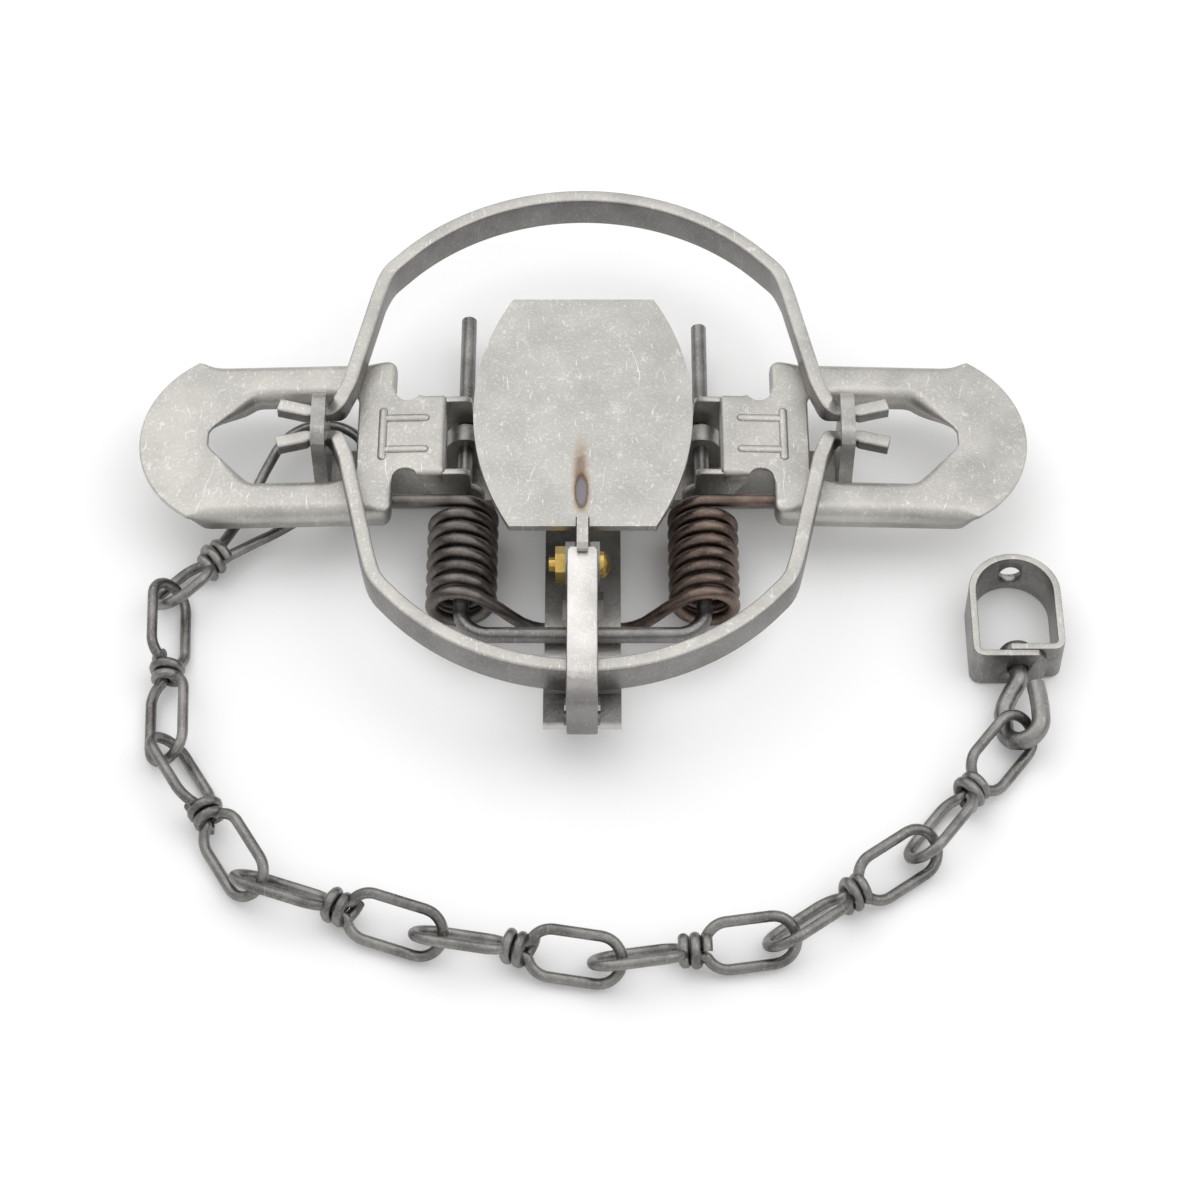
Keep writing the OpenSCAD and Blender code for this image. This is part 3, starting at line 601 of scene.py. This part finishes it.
# Pan
# The tread plate has bowed sides and a notch at the front for its shank, which is welded under its middle.
# It is bright sheet. The weld's heat has left a small straw and blue tint on the top.
pan_steel = bare_metal("pan_steel", tone=(0.5, 0.488, 0.458), shade=(0.41, 0.4, 0.375),
                       bright=(0.9, 0.89, 0.87), rough=0.44, marks=0.65)
STRAW = (0.5, 0.42, 0.32)
tint_spot(pan_steel, centre=(-0.6, -18.4, 28.4), half=(1.9, 9.6, 9),
          stops=((0, (0.13, 0.078, 0.048), 0.85), (0.5, (0.17, 0.105, 0.066), 0.72),
                 (0.9, (0.3, 0.2, 0.125), 0.4), (1.5, STRAW, 0)), waver=0.4)
tint_spot(pan_steel, centre=(-0.3, -23.8, 28.4), half=(1.9, 6.2, 9),
          stops=((0, (0.2, 0.198, 0.225), 0.95), (0.55, (0.185, 0.175, 0.19), 0.9),
                 (0.82, (0.1, 0.06, 0.04), 0.85), (1.02, (0.26, 0.17, 0.1), 0.4), (1.5, STRAW, 0)),
          waver=0.25)
soften_edges("pan_plate", pan_steel, width=0.4)
soften_edges("pan_shank", tumbled_steel, width=0.8, steps=4)

# Pan screw and nut
# A small brass machine screw is the pan's pivot, and its hexagon nut is on the left.
# Both are plain turned brass, a little dulled.
plain_brass = bare_metal("plain_brass", tone=(0.62, 0.43, 0.12), shade=(0.45, 0.3, 0.08),
                         bright=(0.9, 0.75, 0.4), rough=0.3, marks=0.3)
soften_edges("pan_screw", plain_brass, width=0.15)
soften_edges("pan_nut", plain_brass, width=0.3)

# Chain
# Eight double-loop links of round wire: two loops at right angles, with the wire wrapped between them.
# The first link goes round the left post. The wire is dull grey steel.
chain_wire = bare_metal("chain_wire", tone=(0.27, 0.262, 0.25), shade=(0.14, 0.136, 0.13),
                        bright=(0.55, 0.54, 0.52), rough=0.36, marks=0.3, patch=120)
JUNCTIONS = [Vector(p) for p in ((-67, 0), (-104, -40), (-101.5, -85), (-79, -122), (-36, -137), (6, -144),
                                 (47, -138), (81.5, -113.5), (106.8, -80.5))]
CHAIN_Z, LINK_D, LINK_HALF, LINK_PAST, NEAR_TILT, FAR_TILT = 5.8, 2.7, 5.7, 3.5, -50, 40
POST_HALF, POST_PAST, FIRST_SHARE, POST_LIFT, LIFT_START, LIFT_FULL = 12, 8, 0.72, 4, 12, 36
KNOT_R, KNOT_TURNS, KNOT_STEPS, KNOT_SLANT, KNOT_UNEVEN, WRAP_GAP = 3, 2, 16, 0.3, 0.3, 0.1


def loop_route(reach, half):
    side = [(0.4, -1.5), (1.5, -1.6), (2.4, -2)] + arc(2.3 + half, 0, half, -156, -90, 9)
    side += [(reach - half - 1, -half)]
    points = side + arc(reach - half, 0, half, -90, 90, 10) + mirrored(side)
    return smooth_route([Vector((x, y, 0)) for x, y in spaced(points, step=1.6)], steps=2)


def post_route(reach, half):
    side = [(0.4, -1.5), (3.5, -1.8), (12, -4)]
    side += [(reach - 2 * half, -0.75 * half), (reach - 1.4 * half, -0.94 * half)]
    points = side + arc(reach - half, 0, half, -90, 90, 18) + mirrored(side)
    lifted = [Vector((x, y, POST_LIFT * ease(x, LIFT_START, LIFT_FULL)))
              for x, y in spaced(points, step=2.4)]
    return smooth_route(lifted, steps=2)


def knot_route(start):
    route = []
    for i in range(-2, KNOT_STEPS * KNOT_TURNS + 3):
        a = 2 * math.pi * i / KNOT_STEPS
        r = KNOT_R + KNOT_UNEVEN * math.cos(0.6 * a + start)
        x = (i / KNOT_STEPS - KNOT_TURNS / 2) * (LINK_D + WRAP_GAP) + KNOT_SLANT * r * math.cos(a + start)
        route.append(Vector((x, r * math.cos(a + start), r * math.sin(a + start))))
    return route


for number, (p, q) in enumerate(zip(JUNCTIONS, JUNCTIONS[1:]), 1):
    first = number == 1
    share = FIRST_SHARE if first else 0.5
    knot = p + (q - p) * share
    length = (q - p).length
    near_reach = length * share + LINK_PAST + (POST_PAST if first else 0)
    near_line = post_route(near_reach, POST_HALF) if first else loop_route(near_reach, LINK_HALF)
    far_line = loop_route(length * (1 - share) + LINK_PAST, LINK_HALF)
    turn = Matrix.Rotation(math.atan2(q.y - p.y, q.x - p.x), 4, "Z")
    place = Matrix.Translation((knot.x, knot.y, CHAIN_Z)) @ turn
    near_tilt = Matrix.Rotation(math.radians(0 if first else NEAR_TILT), 4, "X")
    near = place @ near_tilt @ Matrix.Rotation(math.pi, 4, "Z")
    far = place @ Matrix.Rotation(math.radians(FAR_TILT), 4, "X")
    corners, faces = [], []
    for spot, line in ((near, near_line), (far, far_line), (place, knot_route(1.3 * number))):
        add_wire(corners, faces, [spot @ v for v in line], LINK_D, sides=12)
    wire = make_piece("chain_wire_%d" % number, corners, faces, chain_wire)
    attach(wire, "link_%d" % number)
    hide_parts("chain_link_%d" % number)

# Swivel
# A rod bent to an open eye, whose upset stud turns in the lapped ends of a strap bent to a D.
# Both are grey steel. The strap's cut edges are bright, and its arch has a round hole.
swivel_steel = bare_metal("swivel_steel", tone=(0.3, 0.292, 0.28), shade=(0.17, 0.165, 0.158),
                          bright=(0.6, 0.59, 0.57), rough=0.38, marks=0.35)
STUD_X, STUD_Z, STUD_D = 107.8, 6.35, 5
EYE_LOW, EYE_HALF, EYE_D, EYE_TILT = -83.2, 4.9, 4.6, math.radians(30)
STRAP_FRONT, STRAP_L, STRAP_OUT, STRAP_T, STRAP_W = -62.5, 19.5, 23, 1.9, 12.7
STRAP_BEND, LAP_GAP, IN_END_CUT, OUT_END_CUT, HOLE_GAP, ARCH_HOLE_R = 2, 0.06, 2.2, 2.6, 0.15, 2.8
HEAD_Y = STRAP_FRONT + 2 * STRAP_T + 0.4
HEAD_CURVE = ((2.2, 0), (4.1, 0), (4.5, 0.4), (4.4, 1.2), (3.6, 2.2), (2.2, 2.8), (0.6, 3))


def add_lathe(corners, faces, profile, sides=32):
    start = len(corners)
    for r, y in profile:
        for k in range(sides):
            a = 2 * math.pi * k / sides
            corners.append(Vector((STUD_X + r * math.sin(a), y, STUD_Z + r * math.cos(a))))
    skin_rings(faces, start, len(profile), sides)


eye_plan = [(0, HEAD_Y + 0.5), (0, -65.2), (-0.9, -67), (-2.6, -69.2), (-4.1, -71.6), (-EYE_HALF, -74.2)]
eye_plan += arc(0, EYE_LOW + EYE_HALF, EYE_HALF, 180, 360, 14)
eye_plan += [(EYE_HALF, -75), (EYE_HALF - 0.2, -71.8), (EYE_HALF - 0.6, -68.4)]
eye_line = [Vector((STUD_X + across * math.cos(EYE_TILT), y, STUD_Z + across * math.sin(EYE_TILT)))
            for across, y in spaced(eye_plan, step=1.5)]
corners, faces = [], []
add_lathe(corners, faces, [(r, HEAD_Y + rise) for r, rise in HEAD_CURVE])
add_wire(corners, faces, smooth_route(eye_line, steps=2), EYE_D, sides=18)
eye_rod = make_piece("swivel_eye_rod", corners, faces, swivel_steel)
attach(eye_rod, "swivel_eye")
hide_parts("swivel_eye")

mid = STRAP_OUT / 2 - STRAP_T / 2
lap_in, lap_out = STRAP_FRONT + 1.5 * STRAP_T, STRAP_FRONT + 0.5 * STRAP_T
arch_y = STRAP_FRONT + STRAP_L
strap_line = [(x, lap_in) for x in (-4.4, -2, 2, 6)]
strap_line += arc(mid - STRAP_BEND, lap_in + STRAP_BEND, STRAP_BEND, -90, 0, 5)
strap_line += [(mid, y) for y in (-54, -50, -46)] + arc(0, arch_y, mid, 0, 180, 28)
strap_line += [(-mid, y) for y in (-46, -50, -54)]
strap_line += arc(STRAP_BEND - mid, lap_out + STRAP_BEND, STRAP_BEND, 180, 270, 5)
strap_line += [(x, lap_out) for x in (-6, -2, 2, 4.6, 6.8)]
route = [Vector((STUD_X + x, y, 0)) for x, y in strap_line]
thick = [STRAP_T - LAP_GAP] * len(route)
lows = [IN_END_CUT] + [0] * (len(route) - 2) + [OUT_END_CUT]
highs = [STRAP_W - low for low in lows]
corners, faces = [], []
add_strap(corners, faces, route, Vector((0, 0, 1)), thick, lows, highs, corner_r=0.35)
shackle = make_piece("shackle_strap", corners, faces, swivel_steel, sharp=50)
corners, faces = [], []
for r, first, last in ((STUD_D / 2 + HOLE_GAP, STRAP_FRONT - 2, STRAP_FRONT + 2 * STRAP_T + 2),
                       (ARCH_HOLE_R, arch_y + mid - 4, arch_y + mid + 4)):
    add_lathe(corners, faces, [(r, first), (r, last)])
drill = make_piece("drill", corners, faces, swivel_steel)
cut = shackle.modifiers.new("holes", "BOOLEAN")
cut.object = drill
cut.operation = "DIFFERENCE"
cut.solver = "EXACT"
drilled = bpy.data.meshes.new_from_object(shackle.evaluated_get(bpy.context.evaluated_depsgraph_get()))
shackle.modifiers.clear()
shackle.data = drilled
shackle.data.name = "shackle_strap"
shackle.data.materials.append(tumbled_steel)
for face in shackle.data.polygons:
    face.material_index = int(abs(face.normal.z) > 0.8)
bpy.data.objects.remove(drill)
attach(shackle, "swivel_shackle")
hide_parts("swivel_shackle")

# Stage
# A pale floor, a white sky and two soft lamps, with the camera above the front of the trap.
bpy.ops.mesh.primitive_plane_add(size=24, location=(0, 0, -0.0004))
floor = bpy.context.object
floor.name = "floor"
floor_paint = bpy.data.materials.new("floor_paint")
floor_paint.use_nodes = True
floor_shader = floor_paint.node_tree.nodes["Principled BSDF"]
floor_shader.inputs["Base Color"].default_value = (0.95, 0.95, 0.95, 1)
floor_shader.inputs["Roughness"].default_value = 0.9
floor_shader.inputs["Specular IOR Level"].default_value = 0
floor.data.materials.append(floor_paint)

sky = bpy.data.worlds.new("sky")
bpy.context.scene.world = sky
sky.use_nodes = True
sky_tree = sky.node_tree
background = sky_tree.nodes["Background"]
background.inputs["Color"].default_value = (1, 1, 1, 1)
sky_way = sky_tree.nodes.new("ShaderNodeTexCoord").outputs["Generated"]
height = sky_tree.nodes.new("ShaderNodeSeparateXYZ")
glow = remap(sky_tree, height.outputs["Z"], low=0.62, high=1.05)
link_nodes(sky_tree, (sky_way, height.inputs["Vector"]), (glow, background.inputs["Strength"]))

AIM = Vector((4.3, -37, 0)) * MM
LAMPS = (("key_lamp", (-0.38, 0.45, 1), 3, 1.2), ("fill_lamp", (0.6, 0, 0.8), 1.7, 0.8))
for name, place, power, size in LAMPS:
    lamp = bpy.data.lights.new(name, "AREA")
    lamp.energy = power
    lamp.size = size
    holder = bpy.data.objects.new(name, lamp)
    holder.location = place
    holder.rotation_euler = (AIM - holder.location).to_track_quat("-Z", "Y").to_euler()
    bpy.context.scene.collection.objects.link(holder)

lens = bpy.data.cameras.new("photo_camera")
lens.lens = 98
lens.sensor_width = 36
lens.clip_start = 0.01
eye = bpy.data.objects.new("photo_camera", lens)
eye.location = Vector((4.3, -512, 679)) * MM
eye.rotation_euler = (AIM - eye.location).to_track_quat("-Z", "Y").to_euler()
bpy.context.scene.collection.objects.link(eye)
bpy.context.scene.camera = eye
bpy.context.scene.view_settings.view_transform = "Standard"
